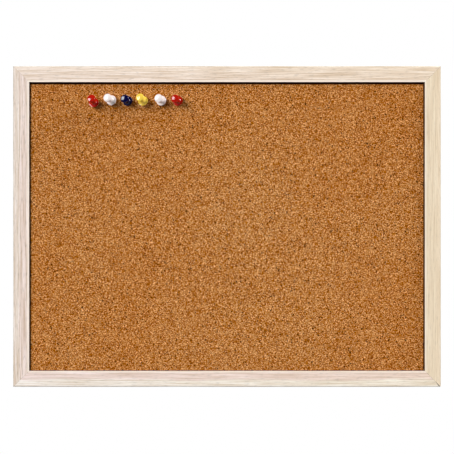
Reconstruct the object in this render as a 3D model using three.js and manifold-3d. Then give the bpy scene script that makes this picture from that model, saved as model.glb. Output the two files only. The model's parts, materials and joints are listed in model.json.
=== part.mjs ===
// A framed cork pin board with six push pins, hung on a wall by two ring hangers.
// Units are millimetres and +Z is up. The cork faces -Y and the wall is behind it, at +Y.
// The origin is the middle of the top rail's back face.

import * as THREE from 'three';
import { mergeVertices } from 'three/addons/utils/BufferGeometryUtils.js';
import Module from 'manifold-3d';

const wasm = await Module();
wasm.setup();

// Frame: four mitred lengths of one grooved pine moulding
const boardWidth = 400;
const boardHeight = 300;
const railWidth = 15;
const rearLip = 3.2;
const grooveDepth = 5;
const outerRounding = 1.2;
const innerChamfer = 0.8;
const backChamfer = 0.5;
const glueLine = 0.05;
// The lower right mitre has sprung open at its outer edge by this much.
const openMitre = 0.6;

// Panel: cork glued to a fibreboard core with a hardboard back, trapped in the frame's groove
const corkRecess = 2;
const corkThickness = 2.5;
const corkSideGap = 1.1;
const corkTopGap = 1.2;
const corkSeatGap = 0.2;
const coreThickness = 5.5;
const hardboardThickness = 1.5;
const glueFilm = 0.1;
const panelPlay = 0.5;

// Staples: driven across the back of each mitre, the crown just below the surface
const stapleCrown = 8;
const stapleLeg = 8;
const stapleWire = 0.9;
const stapleWidth = 1.2;
const stapleBend = 0.4;
const stapleSink = 0.15;
const stapleClearance = 0.2;
const stapleEdge = 1.25;
const stapleWall = 2;

// Ring hangers: a steel strap folded round a wire ring and screwed to the back of each stile
const hangerDrop = 60;
const strapWidth = 7;
const strapSheet = 0.8;
const strapEnd = 3.8;
const seatGap = 0.1;
const ringWire = 0.8;
const ringSideGap = 0.4;
const ringReach = 9.5;
const ringCorner = 1.3;
const ringButtGap = 0.4;
const ringRestGap = 0.3;
const eyeClearance = 0.25;
const screwHeadGap = 0.6;
const screwHeadRadius = 2.3;
const screwHeadHeight = 1.4;
const screwShankRadius = 1.2;
const screwLength = 9;
const screwPoint = 2.4;
const screwClearance = 0.25;
const screwWall = 0.8;

// Push pins: a turned handle moulded on a steel needle
const handleLength = 10.8;
const headRadius = 3.5;
const headRim = 1.1;
const headDome = 0.8;
const waistRadius = 2.1;
const flangeRadius = 4.4;
const flangeRim = 1.1;
const rimRounding = 0.35;
const needleRadius = 0.55;
const needleReach = 9;
const needleRoot = 6;
const needlePoint = 2;
const boreClearance = 0.2;
const pinHoleClearance = 0.25;
const pinSeatGap = 0.3;

// Each pin's flange is placed from the board's left and top edges.
// The leans are degrees from square to the cork, to the left and upwards.
const pins = [
  { colour: 'red', fromLeft: 75.6, fromTop: 34.5, leanLeft: 7, leanUp: 18 },
  { colour: 'white', fromLeft: 92, fromTop: 32.1, leanLeft: 16, leanUp: 7 },
  { colour: 'navy', fromLeft: 107, fromTop: 32.6, leanLeft: 10, leanUp: 5 },
  { colour: 'yellow', fromLeft: 121.6, fromTop: 32.8, leanLeft: 13, leanUp: 13 },
  { colour: 'white', fromLeft: 138.6, fromTop: 32.4, leanLeft: 12, leanUp: 6 },
  { colour: 'red', fromLeft: 154, fromTop: 32.6, leanLeft: 12, leanUp: 5 },
];

// Facets of the round forms
const handleSides = 20;
const profileSteps = 3;
const needleSides = 10;
const wireSides = 8;
const ringSteps = 44;
const screwSides = 16;
const eyeSteps = 8;
const roundingSteps = 2;

// Sizes that follow from the ones above
const lipDepth = corkRecess + corkThickness;
const grooveWidth = coreThickness + hardboardThickness + 3 * glueFilm;
const railDepth = lipDepth + grooveWidth + rearLip;
const topEdge = railWidth / 2;
const boardCentre = topEdge - boardHeight / 2;
const sightWidth = boardWidth - 2 * railWidth;
const sightHeight = boardHeight - 2 * railWidth;
const grooveFloor = railWidth - grooveDepth;
const panelWidth = sightWidth + 2 * (grooveDepth - panelPlay);
const panelHeight = sightHeight + 2 * (grooveDepth - panelPlay);
const corkFace = corkRecess - railDepth;
const coreFace = corkFace + corkThickness + glueFilm;
const hardboardFace = coreFace + coreThickness + glueFilm;
const strapStack = 2 * strapSheet;
const strapBack = seatGap + strapStack;
const eyeRadius = ringWire + eyeClearance;
const eyeOuter = eyeRadius + strapSheet;
const ringAxis = seatGap + eyeOuter;
const ringHalfWidth = strapWidth / 2 + ringSideGap + ringCorner;
const screwDrop = ringReach + ringWire + screwHeadGap + screwHeadRadius;
const strapLength = screwDrop + strapEnd;
// The hanger is centred on its stile, or nearer the outer edge where the groove would meet the screw.
const hangerInset = Math.min(railWidth / 2, grooveFloor - screwWall - screwShankRadius);
// The staples' legs stay in solid wood, between the outer edge and the groove.
const outerStapleInset = stapleEdge + (stapleCrown / 2 + stapleWidth / 2) * Math.SQRT1_2;
const innerLegReach = (stapleCrown / 2 - stapleWire - stapleWidth / 2) * Math.SQRT1_2;
const innerStapleInset = grooveFloor - stapleWall + innerLegReach;

// Materials
const material = (color, roughness, metalness = 0) =>
  new THREE.MeshStandardMaterial({ color, roughness, metalness });
const palePine = material('#e4d3c0', 0.6);
const warmPine = material('#e9d7bb', 0.6);
const cork = material('#b2753d', 0.95);
const fibreboard = material('#8a6a48', 0.95);
const hardboard = material('#5f4630', 0.8);
const zinc = material('#b9bcbd', 0.4, 0.9);
const needleSteel = material('#c9cbcc', 0.25, 1);
const plastics = {
  red: material('#b40f05', 0.2),
  white: material('#ebe6e0', 0.25),
  navy: material('#0a0b36', 0.2),
  yellow: material('#e6c43c', 0.25),
};

// Solid modelling helpers

function toSolid(geometry) {
  const bare = geometry.clone();
  bare.deleteAttribute('normal');
  bare.deleteAttribute('uv');
  const merged = mergeVertices(bare);
  const vertProperties = new Float32Array(merged.attributes.position.array);
  const triVerts = new Uint32Array(merged.index.array);
  return new wasm.Manifold(new wasm.Mesh({ numProp: 3, vertProperties, triVerts }));
}

function toGeometry(solid) {
  const { vertProperties, triVerts } = solid.getMesh();
  const geometry = new THREE.BufferGeometry();
  geometry.setAttribute('position', new THREE.BufferAttribute(vertProperties, 3));
  geometry.setIndex(new THREE.BufferAttribute(triVerts, 1));
  geometry.computeVertexNormals();
  return geometry;
}

// Cuts the shapes of other placed objects out of a placed mesh.
function cutOut(mesh, cutters) {
  mesh.updateWorldMatrix(true, false);
  const toMesh = mesh.matrixWorld.clone().invert();
  let solid = toSolid(mesh.geometry);
  for (const cutter of cutters) {
    cutter.updateWorldMatrix(true, false);
    const placed = cutter.geometry.clone();
    placed.applyMatrix4(cutter.matrixWorld);
    placed.applyMatrix4(toMesh);
    solid = solid.subtract(toSolid(placed));
  }
  mesh.geometry = toGeometry(solid);
}

function named(name, geometry, finish) {
  const mesh = new THREE.Mesh(geometry, finish);
  mesh.name = name;
  return mesh;
}

// Frame rails

// The moulding's section: across from the outer edge, and forward from the back.
function railSection() {
  const grooveFront = rearLip + grooveWidth;
  const section = new THREE.Shape();
  section.moveTo(backChamfer, 0);
  section.lineTo(railWidth, 0);
  section.lineTo(railWidth, rearLip);
  section.lineTo(grooveFloor, rearLip);
  section.lineTo(grooveFloor, grooveFront);
  section.lineTo(railWidth, grooveFront);
  section.lineTo(railWidth, railDepth - innerChamfer);
  section.lineTo(railWidth - innerChamfer, railDepth);
  section.lineTo(outerRounding, railDepth);
  section.absarc(outerRounding, railDepth - outerRounding, outerRounding, Math.PI / 2, Math.PI);
  section.lineTo(0, backChamfer);
  section.closePath();
  return section;
}

// A length of moulding whose ends are slid back to 45 degrees, as the top rail lies round the centre.
function railGeometry(length, span, endOpening) {
  const options = { depth: length, bevelEnabled: false, curveSegments: roundingSteps };
  const geometry = new THREE.ExtrudeGeometry(railSection(), options);
  const position = geometry.attributes.position;
  for (let i = 0; i < position.count; i += 1) {
    const across = position.getX(i);
    const opening = endOpening * (1 - across / railWidth);
    const start = across + glueLine;
    const end = length - across - glueLine - opening;
    position.setZ(i, position.getZ(i) < length / 2 ? start : end);
  }
  const down = new THREE.Vector3(0, 0, -1);
  const forward = new THREE.Vector3(0, -1, 0);
  const left = new THREE.Vector3(-1, 0, 0);
  geometry.applyMatrix4(new THREE.Matrix4().makeBasis(down, forward, left));
  geometry.translate(length / 2, 0, span / 2);
  return geometry;
}

// Quarter turns carry the top rail round the frame, clockwise from the front.
function rail(name, quarterTurns, finish, endOpening = 0) {
  const upright = quarterTurns % 2 === 1;
  const length = upright ? boardHeight : boardWidth;
  const span = upright ? boardWidth : boardHeight;
  const mesh = named(name, railGeometry(length, span, endOpening), finish);
  mesh.rotation.y = (quarterTurns * Math.PI) / 2;
  return mesh;
}

// Staples

// The staple's face with its crown up, or with a margin, the pocket that it sits in.
function stapleFace(margin, top) {
  const outside = stapleCrown / 2 + margin;
  const inside = stapleCrown / 2 - stapleWire - margin;
  const underCrown = -stapleSink - stapleWire - margin;
  const tip = -stapleSink - stapleLeg - margin;
  const face = new THREE.Shape();
  face.moveTo(-outside, tip);
  face.lineTo(-inside, tip);
  face.lineTo(-inside, underCrown);
  face.lineTo(inside, underCrown);
  face.lineTo(inside, tip);
  face.lineTo(outside, tip);
  face.lineTo(outside, top - stapleBend);
  face.quadraticCurveTo(outside, top, outside - stapleBend, top);
  face.lineTo(stapleBend - outside, top);
  face.quadraticCurveTo(-outside, top, -outside, top - stapleBend);
  face.closePath();
  return face;
}

function stapleGeometry(margin, top) {
  const depth = stapleWidth + 2 * margin;
  const options = { depth, bevelEnabled: false, curveSegments: roundingSteps };
  const geometry = new THREE.ExtrudeGeometry(stapleFace(margin, top), options);
  return geometry.translate(0, 0, -depth / 2);
}

// Sits across the mitre of one corner, a stated inset from both outer edges.
function placeStaple(mesh, sideX, sideZ, inset) {
  mesh.position.set(sideX * (boardWidth / 2 - inset), 0, sideZ * (boardHeight / 2 - inset));
  mesh.rotation.y = (sideX * sideZ * Math.PI) / 4;
  return mesh;
}

function staple(name, sideX, sideZ, inset) {
  return placeStaple(named(name, stapleGeometry(0, -stapleSink), zinc), sideX, sideZ, inset);
}

function staplePocket(sideX, sideZ, inset) {
  const open = stapleGeometry(stapleClearance, stapleBend);
  return placeStaple(new THREE.Mesh(open), sideX, sideZ, inset);
}

// Panel

function slab(name, width, thickness, height, face, finish) {
  const mesh = named(name, new THREE.BoxGeometry(width, thickness, height), finish);
  mesh.position.y = face + thickness / 2;
  return mesh;
}

// The cork stands on the bottom rail, so its gap is at the sides and along the top.
function corkSheet() {
  const width = sightWidth - 2 * corkSideGap;
  const height = sightHeight - corkTopGap - corkSeatGap;
  const sheet = slab('cork_sheet', width, corkThickness, height, corkFace, cork);
  sheet.position.z = (corkSeatGap - corkTopGap) / 2;
  return sheet;
}

// Ring hangers

// The strap seen from its edge: two layers of sheet that open into an eye.
function strapEdge() {
  const layersMeet = -Math.sqrt(eyeOuter ** 2 - (strapStack - eyeOuter) ** 2);
  const meetAngle = Math.atan2(layersMeet, strapStack - eyeOuter);
  const edge = new THREE.Shape();
  edge.moveTo(seatGap, -strapLength);
  edge.lineTo(strapBack, -strapLength);
  edge.lineTo(strapBack, layersMeet);
  edge.absarc(ringAxis, 0, eyeOuter, meetAngle, Math.PI);
  edge.closePath();
  const eye = new THREE.Path();
  eye.absarc(ringAxis, 0, eyeRadius, 0, 2 * Math.PI, true);
  edge.holes.push(eye);
  return edge;
}

// The strap seen from behind: straight sides and a round lower end.
function strapPlan() {
  const half = strapWidth / 2;
  const plan = new THREE.Shape();
  plan.moveTo(half, eyeOuter + strapSheet);
  plan.lineTo(-half, eyeOuter + strapSheet);
  plan.lineTo(-half, half - strapLength);
  plan.absarc(0, half - strapLength, half, Math.PI, 2 * Math.PI);
  plan.closePath();
  return plan;
}

function strapGeometry() {
  const right = new THREE.Vector3(1, 0, 0);
  const back = new THREE.Vector3(0, 1, 0);
  const up = new THREE.Vector3(0, 0, 1);
  const edgeOptions = { depth: strapWidth, bevelEnabled: false, curveSegments: eyeSteps };
  const folded = new THREE.ExtrudeGeometry(strapEdge(), edgeOptions);
  folded.applyMatrix4(new THREE.Matrix4().makeBasis(back, up, right));
  folded.translate(-strapWidth / 2, 0, 0);
  const planDepth = ringAxis + eyeOuter + strapSheet;
  const planOptions = { depth: planDepth, bevelEnabled: false, curveSegments: eyeSteps };
  const blank = new THREE.ExtrudeGeometry(strapPlan(), planOptions);
  blank.rotateX(Math.PI / 2);
  blank.translate(0, planDepth, 0);
  return toGeometry(toSolid(folded).intersect(toSolid(blank)));
}

// The ring's wire starts and ends in the middle of the straight leg, inside the strap's eye.
function ringGeometry() {
  const legEnd = ringHalfWidth - ringCorner;
  const bowCentre = ringReach - ringHalfWidth;
  const route = new THREE.Path();
  route.moveTo(ringButtGap / 2, 0);
  route.lineTo(legEnd, 0);
  route.absarc(legEnd, -ringCorner, ringCorner, Math.PI / 2, 0, true);
  route.lineTo(ringHalfWidth, -bowCentre);
  route.absarc(0, -bowCentre, ringHalfWidth, 0, -Math.PI, true);
  route.lineTo(-ringHalfWidth, -ringCorner);
  route.absarc(-legEnd, -ringCorner, ringCorner, Math.PI, Math.PI / 2, true);
  route.lineTo(-ringButtGap / 2, 0);
  const points = route.getSpacedPoints(ringSteps);
  const extrudePath = new THREE.CatmullRomCurve3(points.map((p) => new THREE.Vector3(p.x, 0, p.y)));
  const wire = new THREE.Shape();
  wire.absarc(0, 0, ringWire, 0, 2 * Math.PI);
  return new THREE.ExtrudeGeometry(wire, { steps: ringSteps, extrudePath, curveSegments: wireSides / 2 });
}

// The lean that lays the bow on the strap, a small gap clear of it.
function ringRestLean() {
  const bowHeight = strapBack + ringWire + ringRestGap;
  return Math.asin((bowHeight - ringAxis) / ringReach);
}

function screwGeometry() {
  const profile = new THREE.Path();
  profile.moveTo(0, -screwLength);
  profile.lineTo(screwShankRadius, screwPoint - screwLength);
  profile.lineTo(screwShankRadius, 0);
  profile.lineTo(screwHeadRadius, 0);
  profile.quadraticCurveTo(screwHeadRadius, screwHeadHeight, 0, screwHeadHeight);
  return new THREE.LatheGeometry(profile.getPoints(profileSteps), screwSides);
}

// A bore for the screw's shank, centred on the seat of its head.
function screwBore() {
  const radius = screwShankRadius + screwClearance;
  const depth = 2 * (screwLength + screwClearance);
  return new THREE.Mesh(new THREE.CylinderGeometry(radius, radius, depth, screwSides));
}

function hanger(side) {
  const name = side < 0 ? 'left_hanger' : 'right_hanger';
  const group = new THREE.Group();
  group.position.set(side * (boardWidth / 2 - hangerInset), 0, boardHeight / 2 - hangerDrop);
  const strap = named(`${name}_strap`, strapGeometry(), zinc);
  const ring = named(`${name}_ring`, ringGeometry(), zinc);
  ring.position.y = ringAxis;
  ring.rotation.x = ringRestLean();
  const screw = named(`${name}_screw`, screwGeometry(), zinc);
  screw.position.set(0, strapBack + seatGap, -screwDrop);
  const bore = screwBore();
  bore.position.copy(screw.position);
  group.add(strap, ring, screw);
  return { group, strap, bore };
}

// Push pins, each along its own +Y axis with the flange's underside at 0

function handleGeometry() {
  const boreRadius = needleRadius + boreClearance;
  const boreEnd = needleRoot + boreClearance;
  const headBase = handleLength - headDome - headRim;
  const waistHeight = (flangeRim + headBase) / 2;
  const rounding = Math.min(rimRounding, flangeRim / 2, headRim / 2);
  const profile = new THREE.Path();
  profile.moveTo(0, boreEnd);
  profile.lineTo(boreRadius, boreEnd);
  profile.lineTo(boreRadius, 0);
  profile.lineTo(flangeRadius - rounding, 0);
  profile.quadraticCurveTo(flangeRadius, 0, flangeRadius, rounding);
  profile.lineTo(flangeRadius, flangeRim - rounding);
  profile.quadraticCurveTo(flangeRadius, flangeRim, flangeRadius - rounding, flangeRim);
  profile.quadraticCurveTo(waistRadius, (flangeRim + waistHeight) / 2, waistRadius, waistHeight);
  profile.quadraticCurveTo(waistRadius, headBase, headRadius - rounding, headBase);
  profile.quadraticCurveTo(headRadius, headBase, headRadius, headBase + rounding);
  profile.lineTo(headRadius, headBase + headRim);
  profile.quadraticCurveTo(headRadius - rounding, handleLength, 0, handleLength);
  return new THREE.LatheGeometry(profile.getPoints(profileSteps), handleSides);
}

function needleGeometry() {
  const profile = new THREE.Path();
  profile.moveTo(0, -needleReach);
  profile.lineTo(needleRadius, needlePoint - needleReach);
  profile.lineTo(needleRadius, needleRoot);
  profile.lineTo(0, needleRoot);
  return new THREE.LatheGeometry(profile.getPoints(), needleSides);
}

// The hole that the needle makes, from the flange's underside to just past the point.
function pinHole() {
  const radius = needleRadius + pinHoleClearance;
  const depth = needleReach + pinHoleClearance;
  const hole = new THREE.CylinderGeometry(radius, radius, depth, needleSides);
  return new THREE.Mesh(hole.translate(0, -depth / 2, 0));
}

// Points a pin out of the cork and lifts it until the low side of its flange just clears the cork.
function placePin(object, { fromLeft, fromTop, leanLeft, leanUp }) {
  const left = Math.tan(THREE.MathUtils.degToRad(leanLeft));
  const up = Math.tan(THREE.MathUtils.degToRad(leanUp));
  const outward = new THREE.Vector3(-left, -1, up).normalize();
  const lift = flangeRadius * Math.hypot(outward.x, outward.z) + pinSeatGap;
  object.quaternion.setFromUnitVectors(new THREE.Vector3(0, 1, 0), outward);
  object.position.set(fromLeft - boardWidth / 2, corkFace - lift, boardHeight / 2 - fromTop);
  return object;
}

function pushPin(pin, number) {
  const group = placePin(new THREE.Group(), pin);
  const handle = named(`pin_${number}_handle`, handleGeometry(), plastics[pin.colour]);
  const needle = named(`pin_${number}_needle`, needleGeometry(), needleSteel);
  group.add(handle, needle);
  return group;
}

// Assembly, round the board's centre

const board = new THREE.Group();
board.position.z = boardCentre;

const rails = [
  rail('top_rail', 0, warmPine),
  rail('right_stile', 1, warmPine),
  rail('bottom_rail', 2, palePine, openMitre),
  rail('left_stile', 3, palePine),
];
board.add(...rails);

const pockets = [];
for (const sideX of [-1, 1]) {
  for (const sideZ of [1, -1]) {
    const corner = `${sideZ > 0 ? 'top' : 'bottom'}_${sideX < 0 ? 'left' : 'right'}`;
    board.add(staple(`staple_${corner}_outer`, sideX, sideZ, outerStapleInset));
    board.add(staple(`staple_${corner}_inner`, sideX, sideZ, innerStapleInset));
    pockets.push(staplePocket(sideX, sideZ, outerStapleInset));
    pockets.push(staplePocket(sideX, sideZ, innerStapleInset));
  }
}

const panel = [
  corkSheet(),
  slab('fibre_core', panelWidth, coreThickness, panelHeight, coreFace, fibreboard),
  slab('hardboard_back', panelWidth, hardboardThickness, panelHeight, hardboardFace, hardboard),
];
board.add(...panel);

const hangers = [hanger(-1), hanger(1)];
board.add(...hangers.map(({ group }) => group));

board.add(...pins.map((pin, index) => pushPin(pin, index + 1)));

// Cutters are placed like the pieces that they make room for, and aren't part of the board.
const cutters = new THREE.Group();
cutters.position.copy(board.position);
const pinHoles = pins.map((pin) => placePin(pinHole(), pin));
cutters.add(...pockets, ...pinHoles);
const screwBores = hangers.map(({ group, bore }) => {
  bore.position.add(group.position);
  return bore;
});
cutters.add(...screwBores);

for (const piece of rails) {
  cutOut(piece, [...pockets, ...screwBores]);
}
for (const piece of panel) {
  cutOut(piece, pinHoles);
}
for (const { strap } of hangers) {
  cutOut(strap, screwBores);
}

const group = new THREE.Group();
group.add(board);

export default group;
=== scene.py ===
# %% [markdown]
# # A framed cork pin board
#
# The object is a sheet of pressed cork in a mitred pine frame, with six push pins in a row at the upper
# left and two ring hangers behind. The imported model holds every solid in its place, in metres. The cells
# below give that frame its looks: the wood, the cork, the pins, the hangers, then light and camera.

import json
import math

import bmesh
import bpy
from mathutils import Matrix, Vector


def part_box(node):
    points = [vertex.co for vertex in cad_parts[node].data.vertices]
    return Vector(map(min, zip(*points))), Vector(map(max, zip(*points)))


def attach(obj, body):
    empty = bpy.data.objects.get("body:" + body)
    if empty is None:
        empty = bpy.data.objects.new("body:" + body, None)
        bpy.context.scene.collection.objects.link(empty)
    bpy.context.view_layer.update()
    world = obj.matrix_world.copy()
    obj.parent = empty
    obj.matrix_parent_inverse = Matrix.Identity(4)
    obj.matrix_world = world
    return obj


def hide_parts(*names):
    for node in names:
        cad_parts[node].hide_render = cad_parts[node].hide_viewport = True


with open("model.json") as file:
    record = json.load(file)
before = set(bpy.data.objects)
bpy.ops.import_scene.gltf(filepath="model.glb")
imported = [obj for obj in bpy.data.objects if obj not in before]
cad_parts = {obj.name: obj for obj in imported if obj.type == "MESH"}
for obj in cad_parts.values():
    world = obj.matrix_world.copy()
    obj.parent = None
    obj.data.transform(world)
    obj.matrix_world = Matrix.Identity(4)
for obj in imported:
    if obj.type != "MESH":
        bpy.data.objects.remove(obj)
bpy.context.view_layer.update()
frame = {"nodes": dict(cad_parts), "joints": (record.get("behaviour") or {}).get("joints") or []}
MM = 0.001

# %% [markdown]
# ## Working by hand in code
#
# Each new piece is modelled as at the screen: start from a primitive, go into edit mode, pick vertices,
# edges or faces, and run an operator on them. An operator acts on all that is selected, and the loaded
# solids are still selected, so the first helper clears the selection. The last one picks parts of the piece
# being edited by a test of their place.


# %% Select in code
def clear_selection():
    """Goes back to object mode with nothing selected."""
    if bpy.context.mode != "OBJECT":
        bpy.ops.object.mode_set(mode="OBJECT")
    bpy.ops.object.select_all(action="DESELECT")


def open_mesh():
    """Goes into edit mode with every vertex of the active piece selected."""
    bpy.ops.object.mode_set(mode="EDIT")
    bpy.ops.mesh.select_mode(type="VERT")
    bpy.ops.mesh.select_all(action="SELECT")


def pick(kind, test):
    """Selects the vertices, edges or faces being edited that pass a test, and says how many."""
    bpy.ops.mesh.select_mode(type=kind)
    bpy.ops.mesh.select_all(action="DESELECT")
    mesh = bpy.context.edit_object.data
    shape = bmesh.from_edit_mesh(mesh)
    parts = {"VERT": shape.verts, "EDGE": shape.edges, "FACE": shape.faces}[kind]
    chosen = [part for part in parts if test(part)]
    for part in chosen:
        part.select_set(True)
    shape.select_flush_mode()
    bmesh.update_edit_mesh(mesh)
    return len(chosen)


# %% [markdown]
# A section or an outline starts as a chain of edges. It could be typed in as lists of vertices and edges,
# but here it is drawn as by hand: a plane is merged to one vertex, which is extruded from point to point.
# Sweeping a chain can leave doubled vertices where it closes, so they are merged, and the faces are turned
# outwards. A finished piece sits at the origin with its place in its mesh, as the loaded solids do.

# %% Draw, tidy and settle
DOUBLED = 0.001 * MM


def draw_chain(name, points):
    """Draws a chain of edges through points, from a plane that is merged to one vertex."""
    clear_selection()
    bpy.ops.mesh.primitive_plane_add(size=MM, location=points[0])
    bpy.ops.object.transform_apply(location=True, rotation=False, scale=False)
    piece = bpy.context.object
    piece.name = name
    open_mesh()
    bpy.ops.mesh.merge(type="CENTER")
    for here, there in zip(points, points[1:]):
        bpy.ops.mesh.extrude_region_move(TRANSFORM_OT_translate={"value": Vector(there) - Vector(here)})
    return piece


def tidy_mesh():
    """Merges doubled vertices of the mesh being edited, and points its faces outwards."""
    bpy.ops.mesh.select_all(action="SELECT")
    bpy.ops.mesh.remove_doubles(threshold=DOUBLED)
    bpy.ops.mesh.normals_make_consistent(inside=False)


def settle(piece, smooth_below=35):
    """Puts a piece's place and turn into its mesh, and smooths its gentle edges."""
    clear_selection()
    piece.select_set(True)
    bpy.context.view_layer.objects.active = piece
    bpy.ops.object.transform_apply(location=True, rotation=True, scale=True)
    bpy.ops.object.shade_smooth_by_angle(angle=math.radians(smooth_below))


# %% [markdown]
# ## The frame rails
#
# The frame is four lengths of one pine moulding, cut at 45 degrees, with a groove along the inside that
# traps the panel. The solids could simply be painted, but their rounded edge is two flat strips. A rail is
# therefore drawn again as a joiner makes it: the section is drawn once, drawn out to a length, its arrises
# are eased with a plane, and both ends are cut to the mitre.

# %% Section of the moulding
REAR_LIP = 3.2 * MM
GROOVE_WIDTH = 7.3 * MM
GROOVE_DEPTH = 5 * MM

rail_low, rail_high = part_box("top_rail")
RAIL_WIDTH = rail_high.z - rail_low.z
RAIL_DEPTH = rail_high.y - rail_low.y
BOARD_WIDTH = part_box("right_stile")[1].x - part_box("left_stile")[0].x
BOARD_HEIGHT = rail_high.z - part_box("bottom_rail")[0].z
BOARD_CENTRE = rail_high.z - BOARD_HEIGHT / 2
print("rails", round(RAIL_WIDTH / MM, 2), "mm wide and", round(RAIL_DEPTH / MM, 2), "mm deep")


def rail_section(length, span):
    """The moulding's outline at the left end of the top rail, round a board centred on the origin."""
    groove_front = REAR_LIP + GROOVE_WIDTH
    groove_floor = RAIL_WIDTH - GROOVE_DEPTH
    across_and_forward = [
        (0, 0),
        (RAIL_WIDTH, 0),
        (RAIL_WIDTH, REAR_LIP),
        (groove_floor, REAR_LIP),
        (groove_floor, groove_front),
        (RAIL_WIDTH, groove_front),
        (RAIL_WIDTH, RAIL_DEPTH),
        (0, RAIL_DEPTH),
        (0, 0),
    ]
    return [(-length / 2, -forward, span / 2 - across) for across, forward in across_and_forward]


# %% [markdown]
# Bisect cuts the whole piece with a plane, throws one side away and fills the cut, which is just what a
# mitre saw does. The plane's normal has to be one unit long, because Bisect leaves alone what is nearer than
# its threshold, measured along that normal. An open mitre gets a second cut, which takes a sliver off the
# outer front corner. It slants back to nothing a few millimetres behind the front, where the glue holds.

# %% Saw a mitre
GLUE_LINE = 0.05 * MM
OPEN_DEPTH = 4 * MM


def saw_mitre(side, length, span, reach, opening):
    """Cuts one end from a reach below its outer edge to its corner, held back in front if it is open."""
    end = length / 2 - GLUE_LINE
    inner = Vector((side * (end - reach), -RAIL_DEPTH, span / 2 - reach))
    front = Vector((side * (end - opening), -RAIL_DEPTH, span / 2))
    behind = Vector((side * end, OPEN_DEPTH - RAIL_DEPTH, span / 2))
    away = (behind - front).cross(front - inner).normalized() * side
    bpy.ops.mesh.select_all(action="SELECT")
    bpy.ops.mesh.bisect(plane_co=inner, plane_no=away, threshold=DOUBLED, use_fill=True, clear_outer=True)


# %% [markdown]
# A bevel eases an edge by a stated width: several segments round the outer front edge, and two leave the
# inner one nearly flat. Every rail is modelled as the top rail lies and then turned to its side. The lower
# right mitre has sprung open, so the bottom rail has the sliver cut off at that end.

# %% Model the rails
OUTER_ROUNDING = 1.2 * MM
ROUNDING_STEPS = 5
INNER_CHAMFER = 0.2 * MM
ARRIS_PROFILE = 0.35
BACK_CHAMFER = 0.5 * MM
CHAMFER_STEPS = 2
OPEN_MITRE = 1.4 * MM
OPEN_REACH = 5 * MM
SAME_PLACE = 0.01 * MM


def along_at(across, forward, span):
    """A test for the long edges at one corner of the section."""
    place = Vector((0, -forward, span / 2 - across))

    def test(edge):
        return all((Vector((0, v.co.y, v.co.z)) - place).length < SAME_PLACE for v in edge.verts)

    return test


def model_rail(name, quarter_turns, opening=0):
    """Models a rail as the top rail lies, then turns it clockwise to its side of the frame."""
    upright = quarter_turns % 2 == 1
    length = BOARD_HEIGHT if upright else BOARD_WIDTH
    span = BOARD_WIDTH if upright else BOARD_HEIGHT
    rail = draw_chain(name + "_moulding", rail_section(length, span))
    tidy_mesh()
    bpy.ops.mesh.edge_face_add()
    bpy.ops.mesh.extrude_region_move(TRANSFORM_OT_translate={"value": (length, 0, 0)})
    tidy_mesh()
    pick("EDGE", along_at(0, RAIL_DEPTH, span))
    bpy.ops.mesh.bevel(offset=OUTER_ROUNDING, segments=ROUNDING_STEPS, affect="EDGES")
    pick("EDGE", along_at(RAIL_WIDTH, RAIL_DEPTH, span))
    bpy.ops.mesh.bevel(
        offset=INNER_CHAMFER, segments=CHAMFER_STEPS, profile=ARRIS_PROFILE, affect="EDGES")
    pick("EDGE", along_at(0, 0, span))
    bpy.ops.mesh.bevel(offset=BACK_CHAMFER, segments=CHAMFER_STEPS, affect="EDGES")
    saw_mitre(1, length, span, RAIL_WIDTH, 0)
    saw_mitre(-1, length, span, RAIL_WIDTH, 0)
    if opening:
        saw_mitre(-1, length, span, OPEN_REACH, opening)
    clear_selection()
    rail.location = (0, 0, BOARD_CENTRE)
    rail.rotation_euler = (0, quarter_turns * math.pi / 2, 0)
    settle(rail)
    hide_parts(name)
    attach(rail, "board")
    return rail


rails = {
    "top_rail": model_rail("top_rail", 0),
    "right_stile": model_rail("right_stile", 1),
    "bottom_rail": model_rail("bottom_rail", 2, OPEN_MITRE),
    "left_stile": model_rail("left_stile", 3),
}
for name, rail in rails.items():
    print(name, len(rail.data.polygons), "faces")

# %% [markdown]
# A cut is a Boolean modifier with the cutter as its object, and applying it makes the cut part of the mesh.
# A copy of a piece gets its own mesh, so that shaping it leaves the first one alone.


# %% Cut and copy
def finish_with(piece, kind, **settings):
    """Adds a modifier to a piece and applies it."""
    modifier = piece.modifiers.new(kind.title(), kind)
    for setting, value in settings.items():
        setattr(modifier, setting, value)
    bpy.context.view_layer.objects.active = piece
    bpy.ops.object.modifier_apply(modifier=modifier.name)


def cut_away(piece, cutter):
    """Cuts one shape out of a piece, then removes the shape."""
    finish_with(piece, "BOOLEAN", object=cutter, operation="DIFFERENCE", solver="EXACT")
    bpy.data.objects.remove(cutter)


def copy_of(piece, name):
    """A copy of a piece with its own mesh, alone in the selection."""
    clear_selection()
    copy = bpy.data.objects.new(name, piece.data.copy())
    bpy.context.scene.collection.objects.link(copy)
    copy.select_set(True)
    bpy.context.view_layer.objects.active = copy
    return copy


# %% [markdown]
# Two staples cross the back of each mitre. Their crowns sit in pockets that the staples press into the
# wood. A copy of each staple, swollen by a small clearance, is the best cutter for its own pocket. The
# copy's loose triangles are merged first, so that the swelling moves whole corners.

# %% Staple pockets
POCKET_CLEARANCE = 0.2 * MM
RAILS_AT_CORNER = {
    "top_left": ("top_rail", "left_stile"),
    "top_right": ("top_rail", "right_stile"),
    "bottom_left": ("bottom_rail", "left_stile"),
    "bottom_right": ("bottom_rail", "right_stile"),
}


def pocket_for(staple):
    """A swollen copy of a staple."""
    cutter = copy_of(frame["nodes"][staple], "pocket")
    open_mesh()
    tidy_mesh()
    bpy.ops.transform.shrink_fatten(value=POCKET_CLEARANCE, use_even_offset=True)
    clear_selection()
    return cutter


for corner, rail_names in RAILS_AT_CORNER.items():
    for rail_name in rail_names:
        for place in ("outer", "inner"):
            cut_away(rails[rail_name], pocket_for("staple_" + corner + "_" + place))
print("cut the pockets of", 2 * len(RAILS_AT_CORNER), "staples")

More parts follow.
